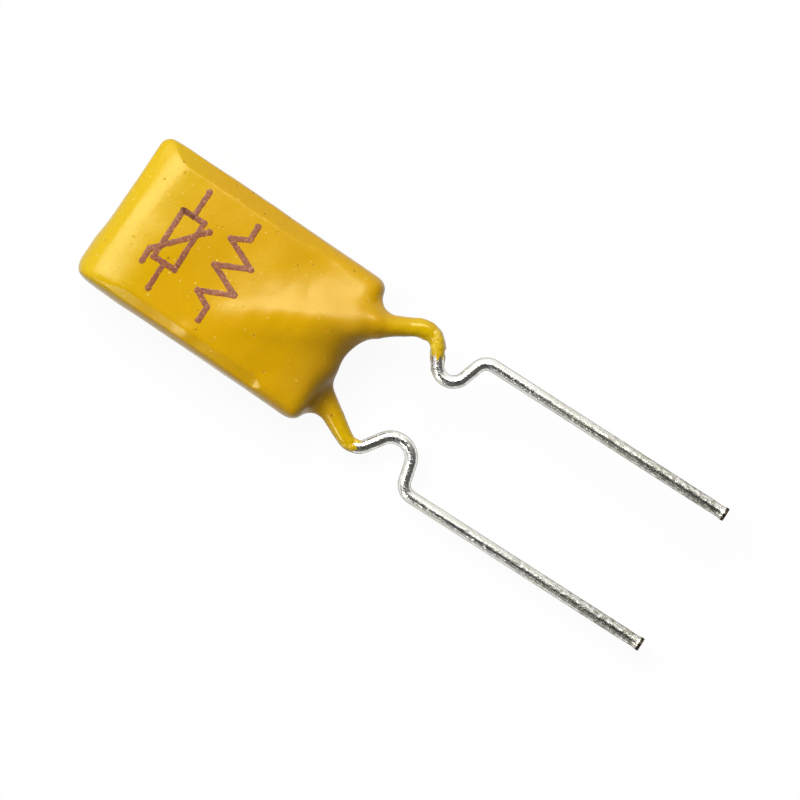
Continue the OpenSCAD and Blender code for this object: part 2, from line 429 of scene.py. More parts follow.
def crown_rise(along, across):
    roll = (along - CROWN_ROLL["along"] - CROWN_ROLL["slant"] * across) / CROWN_ROLL["width"]
    return CROWN_ROLL["height"] * bell(roll)


edge_falls = [round(roof_fall(0, side * HALF_WIDTH), 3) for side in (1, -1)]
print("at the foot the roof falls", edge_falls, "mm by the long edges")

# %% Press the bevels
BEVELS = (
    {"side": 1, "inset": 0.52, "tilt": math.radians(42), "sag": 0.0},
    {"side": -1, "inset": 0.55, "tilt": math.radians(25), "sag": 0.32},
)
SAG_ZONE = (-3.94, 0.0)
BEVEL_FADE = (-2.0, -0.5)
BEVEL_RISE = 0.6


def bevel_limit(bevel, along, across):
    line = HALF_WIDTH - bevel["inset"]
    past_line = across * bevel["side"] - line
    level = MIDDLE.z + FACE_HEIGHT - roof_fall(along, line * bevel["side"])
    sag = bevel["sag"] * ramp(along, SAG_ZONE)
    fade = BEVEL_RISE * ramp(along, BEVEL_FADE)
    return level - sag + fade - past_line * math.tan(bevel["tilt"])


pressed = 0
for vert in coat.data.vertices:
    along, across = in_body(vert.co)
    lift = crown_rise(along, across) - roof_fall(along, across)
    vert.co.z += lift * front_share(vert.co)
    limit = min(bevel_limit(bevel, along, across) for bevel in BEVELS)
    if vert.co.z > limit and along < BEVEL_FADE[1]:
        vert.co.z = limit
        pressed += 1
smooth_coat(2)
print("pressed", pressed, "points")

# %% Let the skin wave
WAVES = {"size": 1.3, "height": 0.026, "depth": 1}


def cloud_lift(name, cloud, **limits):
    clouds = bpy.data.textures.new(name, "CLOUDS")
    clouds.noise_scale = cloud["size"]
    clouds.noise_depth = cloud["depth"]
    apply_modifier(coat, "DISPLACE", texture=clouds, strength=cloud["height"], mid_level=0.5,
                   texture_coords="LOCAL", **limits)


cloud_lift("waves", WAVES)
print("waves of", WAVES["height"], "mm")

# %% [markdown]
# The soft foot
#
# At the foot the epoxy ran down the wires, so the edge between them is a broad roll and the
# front face flows straight into the front neck. A group of points round the foot, weighted
# like a soft brush, is smoothed many times. Its edge is then pushed to where the round arch
# between the necks is, the front falls away towards it, and the whole skin is swollen by as
# much as smoothing had taken from it.

# %% Smooth the foot
FOOT_PASSES = 100
FOOT_START = (-4.0, -2.8)
FOOT_END = (-1.6, -2.2)
FOOT_LOW = (-2.4, -1.7)
FOOT_HIGH = (1.7, 0.9)


def foot_share(place):
    along = ramp(place.x, FOOT_START) * ramp(place.x, FOOT_END)
    return along * ramp(place.y, FOOT_LOW) * ramp(place.y, FOOT_HIGH)


def paint_group(name, share):
    group = coat.vertex_groups.new(name=name)
    for vert in coat.data.vertices:
        group.add([vert.index], share(vert.co), "REPLACE")


def drop_group(name):
    coat.vertex_groups.remove(coat.vertex_groups[name])


paint_group("foot", foot_share)
smooth_coat(FOOT_PASSES, vertex_group="foot")
drop_group("foot")
print("smoothed the foot", FOOT_PASSES, "times")

# %% Shape the arch
ARCH_START = (-3.4, -2.4)
ARCH_END = (-0.9, -1.7)
ARCH_MIDDLE = 0.3
ARCH_SIDES = (1.5, 0.5625)
ARCH_PUSH = 0.19
HOLLOW = {"middle": 0.1, "half": 0.6, "depth": 0.13}
FALL_EDGE = -2.4
FALL_CURVE = 0.45
FALL_REACH = 1.5
FALL_DEPTH = 0.3
FALL_LOW = (-1.9, -1.3)
FALL_HIGH = (1.15, 0.55)
SWELL = 0.022


def arch_push(place):
    along = ramp(place.x, ARCH_START) * ramp(place.x, ARCH_END)
    push = ARCH_PUSH * ramp(abs(place.y - ARCH_MIDDLE), ARCH_SIDES)
    hollow = HOLLOW["depth"] * bell((place.y - HOLLOW["middle"]) / HOLLOW["half"])
    return along * (push - hollow)


def arch_fall(place):
    edge = FALL_EDGE + FALL_CURVE * (place.y - ARCH_MIDDLE) ** 2
    near = max(0.0, 1 - max(0.0, edge - place.x) / FALL_REACH)
    across = ramp(place.y, FALL_HIGH) * ramp(place.y, FALL_LOW)
    return FALL_DEPTH * near * near * across * front_share(place)


for vert in coat.data.vertices:
    vert.co += Vector((arch_push(vert.co), 0, -arch_fall(vert.co)))
swell_coat(SWELL)
print("coat reaches", round(max(v.co.x for v in coat.data.vertices), 3))

# %% [markdown]
# Drips and lumps
#
# Where the epoxy was thick it stood in shallow drips, and where it drew back it left hollows.
# Each is a round spot on the front face, given by its place as on a drawing of the face, along
# from the crown and across from the middle. The gusset, where the face meets the front neck, is
# smoothed once more after that, and the necks get a fine lumpiness, as by a small brush.

# %% Let a few drips stand
CROWN_TO_MIDDLE = 10.925
SHEET_HEIGHT = 3
DRIPS = (
    {"at": (4.0, 2.0), "radius": 0.5, "height": 0.05},
    {"at": (2.2, 2.45), "radius": 0.3, "height": 0.03},
    {"at": (5.2, 0.9), "radius": 0.9, "height": 0.02},
    {"at": (6.6, 1.9), "radius": 0.7, "height": -0.025},
    {"at": (3.8, -0.2), "radius": 1.7, "height": -0.07},
    {"at": (6.3, -0.3), "radius": 1.6, "height": 0.05},
    {"at": (7.1, 0.6), "radius": 1.3, "height": -0.06},
    {"at": (8.9, -1.9), "radius": 0.5, "height": 0.19},
    {"at": (8.74, -1.4), "radius": 0.45, "height": 0.06},
    {"at": (9.1, -1.6), "radius": 0.45, "height": 0.08},
    {"at": (9.5, -1.85), "radius": 0.45, "height": 0.06},
)


def on_sheet(along, across):
    return Vector((along - CROWN_TO_MIDDLE, -across, SHEET_HEIGHT))


def spot_share(spot, place):
    away = (place.xy - on_sheet(*spot["at"]).xy).length / spot["radius"]
    return math.exp(-away * away * 2)


for vert in coat.data.vertices:
    if vert.co.z > MIDDLE.z:
        for drip in DRIPS:
            vert.co.z += drip["height"] * spot_share(drip, vert.co)
print("drips", len(DRIPS))

# %% Smooth the gusset and roughen the necks
GUSSET = {"at": (8.6, -1.9), "radius": 1.1}
GUSSET_PASSES = 50
NECK_ZONE = (-1.6, -0.4)
LUMPS = {"size": 0.4, "height": 0.07, "depth": 2}
paint_group("gusset", lambda place: spot_share(GUSSET, place))
smooth_coat(GUSSET_PASSES, vertex_group="gusset")
drop_group("gusset")
paint_group("necks", lambda place: ramp(place.x, NECK_ZONE))
cloud_lift("lumps", LUMPS, vertex_group="necks")
drop_group("necks")
print("coat stands", round(max(v.co.z for v in coat.data.vertices), 3), "mm high")

# %% [markdown]
# The ragged film
#
# Where the epoxy stops on each wire it doesn't end in a clean ring: the neck thins out and ends
# in a film with tongues. The end of each neck is drawn in towards the middle line of its wire.
# A tube is drawn along the bend, and each of its points is then pushed out or in by a noise
# that depends on its place round the wire. Where the tube sinks below the wire's own surface
# it vanishes, so the edge of the film is drawn by the wire itself.

# %% Middle line of a wire, from its inner end
FILM_STEP = 0.03


def wire_line(kink):
    corners = lead_corners(kink)[::-1]
    points = []
    here = corners[0]
    for i, radius in ((1, kink["radii"][2]), (2, kink["radii"][1])):
        arriving = (corners[i] - corners[i - 1]).normalized()
        leaving = (corners[i + 1] - corners[i]).normalized()
        turn = arriving.angle(leaving)
        setback = radius * math.tan(turn / 2)
        bend_start = corners[i] - arriving * setback
        inward = (leaving - arriving * leaving.dot(arriving)).normalized()
        straight = (bend_start - here).length
        points += [here + arriving * FILM_STEP * k for k in range(int(straight / FILM_STEP))]
        if i == 1:
            bend_index = len(points)
        bends = [FILM_STEP * k / radius for k in range(int(radius * turn / FILM_STEP))]
        points += [bend_start + (inward * (1 - math.cos(a)) + arriving * math.sin(a)) * radius
                   for a in bends]
        here = corners[i] + leaving * setback
    return points, bend_index


for name, kink in KINKS.items():
    print(name, "wire has", len(wire_line(kink)[0]), "points on its middle line")

# %% Thin each neck towards its end
COAT_LENGTHS = {"front": 1.1, "rear": 0.3}
NECK_TAPER = 1.0
NECK_REACH = 0.6
NECK_THINNING = {"front": 0.75, "rear": 0.3}


def thin_neck(name):
    points, bend_index = wire_line(KINKS[name])
    end = bend_index + COAT_LENGTHS[name] / FILM_STEP
    start = end - NECK_TAPER / FILM_STEP
    axis = KDTree(len(points))
    for i, point in enumerate(points):
        axis.insert(point, i)
    axis.balance()
    thinned = 0
    for vert in coat.data.vertices:
        place, nearest, gap = axis.find(vert.co)
        if nearest > start and WIRE_RADIUS < gap < NECK_REACH:
            kept = 1 - NECK_THINNING[name] * ramp(nearest, (start, end))
            vert.co = place + (vert.co - place) * (WIRE_RADIUS + (gap - WIRE_RADIUS) * kept) / gap
            thinned += 1
    print("thinned", thinned, "points of the", name, "neck")


for name in KINKS:
    thin_neck(name)

# %% Draw a tube through a row of points
TUBE_RESOLUTION = 6


def draw_tube(points, radius, cuts=0):
    deselect_everything()
    bpy.ops.mesh.primitive_plane_add(size=0.1)
    bpy.ops.object.mode_set(mode="EDIT")
    bpy.ops.mesh.select_all(action="SELECT")
    bpy.ops.mesh.merge(type="CENTER")
    bpy.ops.transform.translate(value=points[0])
    for last, point in zip(points, points[1:]):
        pull(point - last)
    bpy.ops.mesh.select_all(action="SELECT")
    if cuts:
        bpy.ops.mesh.subdivide(number_cuts=cuts)
    bpy.ops.object.mode_set(mode="OBJECT")
    bpy.ops.object.convert(target="CURVE")
    tube = bpy.context.object
    tube.data.bevel_depth = radius
    tube.data.bevel_resolution = TUBE_RESOLUTION
    tube.data.use_fill_caps = True
    bpy.ops.object.convert(target="MESH")
    return bpy.context.object


print("tubes get a bevel resolution of", TUBE_RESOLUTION)

# %% Draw the film on each wire
FILM_START = -0.7
FILM_END = 1.1
FILM_THICKNESS = 0.045
FILM_REACH = {"front": 0.35, "rear": 0.2}
FILM_EDGE = 0.3
FILM_SINK = -0.7
TONGUE_LENGTH = 0.6
TONGUES_ROUND = 2.0
COARSE_LUMP = {"height": 0.035, "scale": 5}
FINE_LUMP = {"height": 0.012, "scale": 13}


def lump(kind, place):
    return kind["height"] * noise.noise(place * kind["scale"])


def draw_film(name):
    count = int((FILM_END - FILM_START) / FILM_STEP)
    runs = [FILM_START + FILM_STEP * i for i in range(count)]
    points, bend_index = wire_line(KINKS[name])
    first = bend_index + int((COAT_LENGTHS[name] + FILM_START) / FILM_STEP)
    line = points[first:first + count]
    film = draw_tube(line, WIRE_RADIUS)
    film.name = name + "_film"
    pattern_shift = Vector((0, 0, len(name)))
    for vert in film.data.vertices:
        nearest = min(range(count), key=lambda i: (line[i] - vert.co).length)
        out = (vert.co - line[nearest]).normalized()
        tongue = FILM_REACH[name] + TONGUE_LENGTH * noise.noise(out * TONGUES_ROUND + pattern_shift)
        lumps = lump(COARSE_LUMP, vert.co) + lump(FINE_LUMP, vert.co)
        share = min(1.0, max(FILM_SINK, (tongue - runs[nearest]) / FILM_EDGE))
        vert.co = line[nearest] + out * (WIRE_RADIUS + FILM_THICKNESS * share + lumps * max(0.0, share))
    return film


films = {name: draw_film(name) for name in KINKS}
print("films", [len(film.data.polygons) for film in films.values()], "faces")

# %% [markdown]
# The printed signs
#
# Fuses of this kind carry a stamped mark. Here it is two textbook circuit signs, a thermistor
# box and a zigzag, in rusty ink. Each stroke is a chain of points, pulled out one after
# another, turned into a curve with a round bevel and back into a mesh, and then laid on the
# coat by dropping every point straight down onto it. A painted mask in the coat's material
# would be flatter: the mesh gives the stroke a faint raised bead, as wet ink has. The ink
# spreads by a vector noise, which has to be seeded to give the same edge in every run.

# %% Draw the strokes
INK_HALF = 0.102
INK_DOT = 0.12
STROKE_CUTS = 23
DOT_RINGS = 10
STROKES = (
    ((1.75, -1.35), (2.55, -1.35), (2.55, 0.45), (1.75, 0.45), (1.75, -1.35), (2.15, -1.35)),
    ((2.15, -2.3), (2.15, -1.35)),
    ((2.15, 0.45), (2.15, 1.4)),
    ((2.85, -1.2), (1.5, 0.3), (1.5, 0.75)),
    ((4.1, -2.2), (4.1, -1.7), (3.55, -1.4), (4.65, -0.9), (3.55, -0.4), (4.65, 0.1), (3.55, 0.6),
     (4.1, 0.9), (4.1, 1.4)),
)


def draw_dot(point):
    deselect_everything()
    bpy.ops.mesh.primitive_uv_sphere_add(
        segments=2 * DOT_RINGS, ring_count=DOT_RINGS, radius=INK_DOT, location=on_sheet(*point))
    bpy.ops.object.transform_apply(location=True, rotation=True, scale=True)
    return bpy.context.object


strokes = [draw_tube([on_sheet(*point) for point in points], INK_HALF, STROKE_CUTS) for points in STROKES]
for points in STROKES:
    strokes += [draw_dot(point) for point in points]
deselect_everything()
for stroke in strokes:
    stroke.select_set(True)
bpy.context.view_layer.objects.active = strokes[0]
bpy.ops.object.join()
ink = bpy.context.object
ink.name = "printed_signs"
print("signs", len(ink.data.polygons), "faces")

# %% Lay them on the coat
INK_LIFT = 0.004
INK_SINK = 0.5
INK_SEED = 5
DROP_HEIGHT = 9
COARSE_SPREAD = {"width": 0.02, "scale": 4}
FINE_SPREAD = {"width": 0.018, "scale": 14}


def ink_spread(kind, place):
    return noise.noise_vector(place * kind["scale"]) * kind["width"]


noise.seed_set(INK_SEED)
skin = surface_of(coat.data)
for vert in ink.data.vertices:
    bead = max(0.0, vert.co.z - SHEET_HEIGHT) / INK_HALF
    spread = ink_spread(COARSE_SPREAD, vert.co) + ink_spread(FINE_SPREAD, vert.co)
    above = Vector((vert.co.x + spread.x, vert.co.y + spread.y, DROP_HEIGHT))
    landing = skin.ray_cast(above, Vector((0, 0, -1)))[0]
    vert.co = landing + Vector((0, 0, INK_LIFT * (2 * bead - INK_SINK)))
print("signs lie", round(min(v.co.z for v in ink.data.vertices), 3), "mm or more above the floor")

# %% [markdown]
# Handing the pieces to the frame
#
# Nothing on a fuse moves, so every piece rides on the one body. The skin stands for the solid
# coat and each drawn wire for its solid lead, which are hidden. The chip, the foils and the
# solder stay as they are, inside.

# %% Give the pieces their bodies


def finish_piece(piece, slot_name, *stands_for):
    resize_piece(piece, MM)
    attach(piece, "root")
    if stands_for:
        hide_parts(*stands_for)
    print("finished", piece.name, len(piece.data.polygons), "faces")


finish_piece(coat, "epoxy", "epoxy_coat")
finish_piece(ink, "epoxy")
for film in films.values():
    finish_piece(film, "epoxy")
for name, wire in leads.items():
    finish_piece(wire, "tinned_wire", name + "_lead")
for piece in (coat, ink, *films.values()):
    make_active(piece)
    bpy.ops.object.shade_smooth()

# %% [markdown]
# Finishes
#
# Every finish is a node material that reads Object coordinates, so a pattern stays put when
# the fuse is turned. Distances in them are metres, so a pattern with a scale of 1000 repeats
# about once a millimetre. Two effects turn up in several finishes, a cloudy mottle and a
# scatter of fine specks. Each is built once, as a node group with its own inputs, and placed
# in each material with its own values.

# %% Build the mottle
FLOAT = "NodeSocketFloat"
VECTOR = "NodeSocketVector"


def add_node(tree, kind, inputs=None, **settings):
    node = tree.nodes.new(kind)
    for key, value in settings.items():
        setattr(node, key, value)
    for key, value in (inputs or {}).items():
        if isinstance(value, bpy.types.NodeSocket):
            tree.links.new(value, node.inputs[key])
        else:
            node.inputs[key].default_value = value
    return node


def remap(tree, value, low, high, to_low=0.0, to_high=1.0):
    inputs = {"Value": value, "From Min": low, "From Max": high, "To Min": to_low, "To Max": to_high}
    return add_node(tree, "ShaderNodeMapRange", inputs).outputs["Result"]


def object_place(tree):
    return add_node(tree, "ShaderNodeTexCoord").outputs["Object"]


def new_group(name, inputs):
    group = bpy.data.node_groups.new(name, "ShaderNodeTree")
    for label, kind in inputs.items():
        group.interface.new_socket(label, in_out="INPUT", socket_type=kind)
    group.interface.new_socket("Mask", in_out="OUTPUT", socket_type=FLOAT)
    return group, group.nodes.new("NodeGroupInput").outputs, group.nodes.new("NodeGroupOutput").inputs


mottle_group, given, result = new_group(
    "mottle", {"Scale": FLOAT, "Detail": FLOAT, "Low": FLOAT, "High": FLOAT, "Stretch": VECTOR})
stretched = add_node(mottle_group, "ShaderNodeMapping",
                     {"Vector": object_place(mottle_group), "Scale": given["Stretch"]}).outputs["Vector"]
cloud = add_node(mottle_group, "ShaderNodeTexNoise",
                 {"Vector": stretched, "Scale": given["Scale"],
                  "Detail": given["Detail"], "Roughness": 0.6})
mask = remap(mottle_group, cloud.outputs["Fac"], given["Low"], given["High"])
mottle_group.links.new(mask, result["Mask"])


def mottle(tree, scale, detail=3.0, low=0.35, high=0.65, stretch=(1, 1, 1)):
    values = {"Scale": scale, "Detail": detail, "Low": low, "High": high, "Stretch": stretch}
    return add_node(tree, "ShaderNodeGroup", node_tree=mottle_group, inputs=values).outputs["Mask"]


print("built", mottle_group.name, "from", len(mottle_group.nodes), "nodes")

# %% Build the specks


def math_node(tree, operation, first, second):
    return add_node(tree, "ShaderNodeMath", {0: first, 1: second}, operation=operation).outputs[0]


def times(tree, first, second):
    return math_node(tree, "MULTIPLY", first, second)


specks_group, given, result = new_group("specks", {"Scale": FLOAT, "Share": FLOAT, "Size": FLOAT})
cells = add_node(specks_group, "ShaderNodeTexVoronoi",
                 {"Vector": object_place(specks_group), "Scale": given["Scale"]}).outputs
chosen = math_node(specks_group, "LESS_THAN", cells["Color"], given["Share"])
dot = remap(specks_group, cells["Distance"], given["Size"], times(specks_group, given["Size"], 0.5))
specks_group.links.new(times(specks_group, chosen, dot), result["Mask"])


def specks(tree, scale, share, size):
    values = {"Scale": scale, "Share": share, "Size": size}
    return add_node(tree, "ShaderNodeGroup", node_tree=specks_group, inputs=values).outputs["Mask"]


print("built", specks_group.name, "from", len(specks_group.nodes), "nodes")

# %% [markdown]
# Yellow epoxy
#
# Dip epoxy is a filled resin, strongly yellow. Its colour also holds painted light: painted shade
# turns it brown at the foot between the necks and under the front neck, where they face away from
# the lamp, and a painted highlight tint makes it more lemon at the crown, where the lamp falls.
# It is glossy but not wet: fine pinholes and grains of filler sit in the skin, and the foot under
# the painted shade is duller. The gloss is tinted towards the resin's own colour, because light
# that grazes the filler comes back yellow. Each change of colour is a mask between two places, in
# millimetres, and the masks are multiplied where both must hold.

# %% Resin, with a painted highlight tint of lemon at the crown
LEMON_AND_HIGHLIGHT_TINT = (0.775, 0.525, 0.002, 1)
AMBER = (0.785, 0.432, 0.001, 1)
HONEY = (0.735, 0.394, 0.001, 1)
ALONG = (1, 0, 0)


def new_material(name):
    material = bpy.data.materials.new(name)
    material.use_nodes = True
    return material, material.node_tree, material.node_tree.nodes["Principled BSDF"]


def mix_colour(tree, amount, first, second):
    node = add_node(tree, "ShaderNodeMix", data_type="RGBA")
    for key, value in (("Factor", amount), ("A", first), ("B", second)):
        socket = [s for s in node.inputs if s.name == key and s.enabled][0]
        if isinstance(value, bpy.types.NodeSocket):
            tree.links.new(value, socket)
        else:
            socket.default_value = value
    return [s for s in node.outputs if s.enabled][0]


def along_axis(tree, axis):
    inputs = {0: object_place(tree), 1: axis}
    return add_node(tree, "ShaderNodeVectorMath", inputs, operation="DOT_PRODUCT").outputs["Value"]


def between(tree, value, start, end, most=1.0):
    return remap(tree, value, start * MM, end * MM, 0.0, most)


epoxy, tree, shader = new_material("yellow_epoxy")
along = along_axis(tree, ALONG)
resin = mix_colour(tree, mottle(tree, 500.0), AMBER, HONEY)
# Painted highlight tint: the crown, where the key lamp's highlight falls, is mixed towards lemon.
resin = mix_colour(tree, between(tree, along, -8.5, -11.0), resin, LEMON_AND_HIGHLIGHT_TINT)
print("resin mixed from", len(tree.nodes), "nodes so far")

# %% Painted shade, brown at the foot and under the front neck
PAINTED_SHADE_BROWN = (0.40, 0.19, 0.006, 1)
ACROSS = (0, 1, 0)
UNDER_NECK = (math.sin(SPLAY), -math.cos(SPLAY), 0)
PAINTED_FOOT_SHADE = 0.75
PAINTED_NECK_SHADE = 0.65
NECK_LEMON = 0.75
across = along_axis(tree, ACROSS)
# Painted shade: the foot between the necks, which faces away from the key lamp, is mixed towards brown.
foot = times(tree, between(tree, along, -3.9, -2.2, PAINTED_FOOT_SHADE), between(tree, along, -1.4, -2.0))
painted_shade = times(tree, foot, times(tree, between(tree, across, -2.6, -1.3), between(tree, across, 2.1, 0.8)))
resin = mix_colour(tree, painted_shade, resin, PAINTED_SHADE_BROWN)
resin = mix_colour(tree, between(tree, along, -1.8, -0.8, NECK_LEMON), resin, LEMON_AND_HIGHLIGHT_TINT)
# Painted shade: the underside of the front neck is mixed towards brown as well.
under = between(tree, along_axis(tree, UNDER_NECK), -2.22, -2.03, PAINTED_NECK_SHADE)
under = times(tree, under, between(tree, across, 1.0, 1.4))
on_neck = times(tree, between(tree, along, -2.1, -1.7), between(tree, along, -0.3, -0.8))
resin = mix_colour(tree, times(tree, under, on_neck), resin, PAINTED_SHADE_BROWN)
print("thick places bring it to", len(tree.nodes), "nodes")

# %% Filler, grains and pinholes
OCHRE = (0.66, 0.36, 0.002, 1)
PIT = (0.40, 0.19, 0.01, 1)
PALE_GRAIN = (0.86, 0.62, 0.09, 1)
filler = mottle(tree, 8000.0, 4.0, 0.3, 0.7)
crowd = mottle(tree, 700.0, 2.0, 0.3, 0.6)
pinholes = times(tree, specks(tree, 3400.0, 0.42, 0.155), crowd)
grains = times(tree, specks(tree, 4200.0, 0.42, 0.2), crowd)
resin = mix_colour(tree, times(tree, filler, 0.4), resin, OCHRE)
resin = mix_colour(tree, times(tree, grains, 0.6), resin, PALE_GRAIN)
resin = mix_colour(tree, times(tree, pinholes, 0.8), resin, PIT)
tree.links.new(resin, shader.inputs["Base Color"])
print("filler brings it to", len(tree.nodes), "nodes")

# %% Gloss and skin
FOOT_DULL = 0.35
WET_NECK = 0.55


def bump(tree, height, distance, strength, normal=None):
    inputs = {"Height": height, "Distance": distance, "Strength": strength}
    if normal:
        inputs["Normal"] = normal
    return add_node(tree, "ShaderNodeBump", inputs).outputs["Normal"]


gloss = remap(tree, mottle(tree, 900.0, 4.0, 0.3, 0.7), 0, 1, 0.2, 0.29)
gloss = times(tree, gloss, remap(tree, along, -1.6 * MM, -0.4 * MM, 1.0, WET_NECK))
gloss = math_node(tree, "ADD", gloss, times(tree, painted_shade, FOOT_DULL))
tree.links.new(gloss, shader.inputs["Roughness"])
skin_bump = bump(tree, mottle(tree, 1800.0, 2.0, 0.0, 1.0), 0.01 * MM, 0.6)
skin_bump = bump(tree, filler, 0.002 * MM, 0.6, skin_bump)
skin_bump = bump(tree, grains, 0.01 * MM, 0.8, skin_bump)
skin_bump = bump(tree, pinholes, -0.02 * MM, 0.9, skin_bump)
tree.links.new(skin_bump, shader.inputs["Normal"])
shader.inputs["Specular IOR Level"].default_value = 0.47
shader.inputs["Specular Tint"].default_value = (1.0, 0.98, 0.55, 1)
shader.inputs["Coat Weight"].default_value = 0.05
shader.inputs["Coat Roughness"].default_value = 0.1
shader.inputs["Coat Tint"].default_value = (1.0, 0.97, 0.8, 1)
print("mixed", epoxy.name, "from", len(tree.nodes), "nodes")

# %% [markdown]
# Wet film
#
# The last of the coat on each wire is the same resin, too thin to hold its filler, so it dries
# clearer and shinier and every lump in it glints.

# %% Mix the film
THIN_RESIN = (0.79, 0.49, 0.002, 1)
CLEAR_RESIN = (0.85, 0.6, 0.03, 1)
film_epoxy, tree, shader = new_material("thin_epoxy")
thin = mottle(tree, 3500.0, 4.0, 0.4, 0.65)
tree.links.new(mix_colour(tree, thin, THIN_RESIN, CLEAR_RESIN), shader.inputs["Base Color"])
tree.links.new(remap(tree, thin, 0, 1, 0.08, 0.2), shader.inputs["Roughness"])
film_bump = bump(tree, mottle(tree, 5000.0, 3.0, 0.2, 0.8), 0.03 * MM, 0.9)
tree.links.new(film_bump, shader.inputs["Normal"])
shader.inputs["Coat Weight"].default_value = 0.4
shader.inputs["Coat Roughness"].default_value = 0.06
print("mixed", film_epoxy.name, "from", len(tree.nodes), "nodes")

# %% [markdown]
# Tinned wire
#
# Hot-dipped tin is bright but never a clean mirror: it is drawn out in streaks, scuffed by the
# tape that carried it, and duller towards the cut end. Streaks are a mottle stretched along
# the wire. The edge tint is set nearly black, a painted dark reflection that draws a thin dark
# line down each side. The sheared end itself is dark.

# %% Tin the wires
BRIGHT_TIN = (0.99, 0.98, 0.935, 1)
GREY_TIN = (0.78, 0.755, 0.64, 1)
OLD_TIN = (0.29, 0.27, 0.2, 1)
SHEARED = (0.07, 0.058, 0.042, 1)
DRAWN_OUT = (0.08, 1, 1)
RUBBED = (0.5, 1, 1)
tin, tree, shader = new_material("tinned_wire")
along = along_axis(tree, ALONG)
streaks = mottle(tree, 6000.0, 5.0, 0.44, 0.7, DRAWN_OUT)
scuffs = mottle(tree, 13000.0, 3.0, 0.36, 0.64, RUBBED)
metal = mix_colour(tree, streaks, BRIGHT_TIN, GREY_TIN)
dull = times(tree, remap(tree, along, 3.5 * MM, 9.5 * MM, 0.05, 1.0), scuffs)
metal = mix_colour(tree, dull, metal, OLD_TIN)
metal = mix_colour(tree, between(tree, along, 11.005, 11.02), metal, SHEARED)
tree.links.new(metal, shader.inputs["Base Color"])
tree.links.new(remap(tree, streaks, 0, 1, 0.18, 0.31), shader.inputs["Roughness"])
drawn = bump(tree, mottle(tree, 5000.0, 4.0, 0.0, 1.0, DRAWN_OUT), 0.03 * MM, 0.5)
tree.links.new(bump(tree, scuffs, 0.006 * MM, 0.8, drawn), shader.inputs["Normal"])
shader.inputs["Metallic"].default_value = 1.0
# Painted dark reflection: a nearly black edge tint darkens the tin where the view grazes it.
shader.inputs["Specular Tint"].default_value = (0.04, 0.04, 0.03, 1)
print("mixed", tin.name, "from", len(tree.nodes), "nodes")

# %% [markdown]
# Ink, chip, foils and solder
#
# The stamped ink is rusty brown and worn through in places to a lighter tone. The chip, its
# foils and the solder are hidden inside the coat, but they still get the finish that a cut
# sample shows: sooty polymer, rolled nickel and frosted solder. These three differ only in
# their two tones, their gloss and the size of their mottle, so one function mixes them.

# %% Mix the ink
DARK_RUST = (0.22, 0.055, 0.022, 1)
RED_RUST = (0.37, 0.115, 0.035, 1)
WORN_RUST = (0.62, 0.28, 0.11, 1)
rust, tree, shader = new_material("rusty_ink")
blotch = mottle(tree, 9000.0, 4.0)
colour = mix_colour(tree, blotch, DARK_RUST, RED_RUST)
colour = mix_colour(tree, mottle(tree, 12000.0, 3.0, 0.58, 0.66), colour, WORN_RUST)
tree.links.new(colour, shader.inputs["Base Color"])
tree.links.new(bump(tree, blotch, 0.01 * MM, 0.5), shader.inputs["Normal"])
shader.inputs["Roughness"].default_value = 0.45
print("mixed", rust.name, "from", len(tree.nodes), "nodes")

# %% Mix the chip, the foils and the solder


def two_tone(name, tones, gloss, metallic, scale, detail, stretch=(1, 1, 1)):
    material, tree, shader = new_material(name)
    cloud = mottle(tree, scale, detail, 0.3, 0.7, stretch)
    tree.links.new(mix_colour(tree, cloud, *tones), shader.inputs["Base Color"])
    tree.links.new(remap(tree, cloud, 0, 1, *gloss), shader.inputs["Roughness"])
    shader.inputs["Metallic"].default_value = metallic
    print("mixed", name, "from", len(tree.nodes), "nodes")
    return material


SOOT = ((0.018, 0.018, 0.02, 1), (0.045, 0.043, 0.042, 1))
NICKEL = ((0.55, 0.51, 0.45, 1), (0.7, 0.66, 0.58, 1))
SOLDER = ((0.5, 0.51, 0.53, 1), (0.68, 0.69, 0.7, 1))
carbon = two_tone("carbon_polymer", SOOT, (0.5, 0.7), 0.0, 4000.0, 4.0)
nickel = two_tone("nickel_foil", NICKEL, (0.25, 0.4), 1.0, 9000.0, 4.0, DRAWN_OUT)
joint = two_tone("dull_solder", SOLDER, (0.3, 0.5), 1.0, 5000.0, 5.0)

# %% [markdown]
# Dressing the pieces
#
# A mesh keeps its materials in a list of slots. By hand each piece would be picked and given its
# material in the Material tab. Every piece here wears one finish from end to end, so a list of
# pairs and one loop do the same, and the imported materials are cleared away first.

# %% Dress every piece
dressed = [(coat, epoxy), (ink, rust), (nodes["polymer_chip"], carbon)]
for side in KINKS:
    dressed += [(leads[side], tin), (films[side], film_epoxy)]
    dressed += [(nodes[side + "_foil"], nickel), (nodes[side + "_solder"], joint)]
for piece, material in dressed:
    piece.data.materials.clear()
    piece.data.materials.append(material)
print("dressed", sorted(piece.name for piece, material in dressed))

# %% [markdown]
# The floor
#
# The fuse lies on plain white. A white floor that bounced as much light as it shows would fill
# every shadow, so the floor looks white to the camera and in reflections, and gives back only
# a little light otherwise. A small share of plain matte white in what the camera sees keeps the
# fuse's soft shadow.

# %% Lay the floor
FLOOR_SIZE = 1.2
FLOOR_GLOW = 0.94
WHITE = (1, 1, 1, 1)
BOUNCE = (0.15, 0.15, 0.15, 1)
deselect_everything()
bpy.ops.mesh.primitive_plane_add(size=FLOOR_SIZE, location=(0, 0, 0))
floor = bpy.context.object
floor.name = "white_floor"
white, tree, shader = new_material("white_floor")


def mirrored(tree, path):
    return math_node(tree, "MAXIMUM", path["Is Glossy Ray"], path["Is Transmission Ray"])


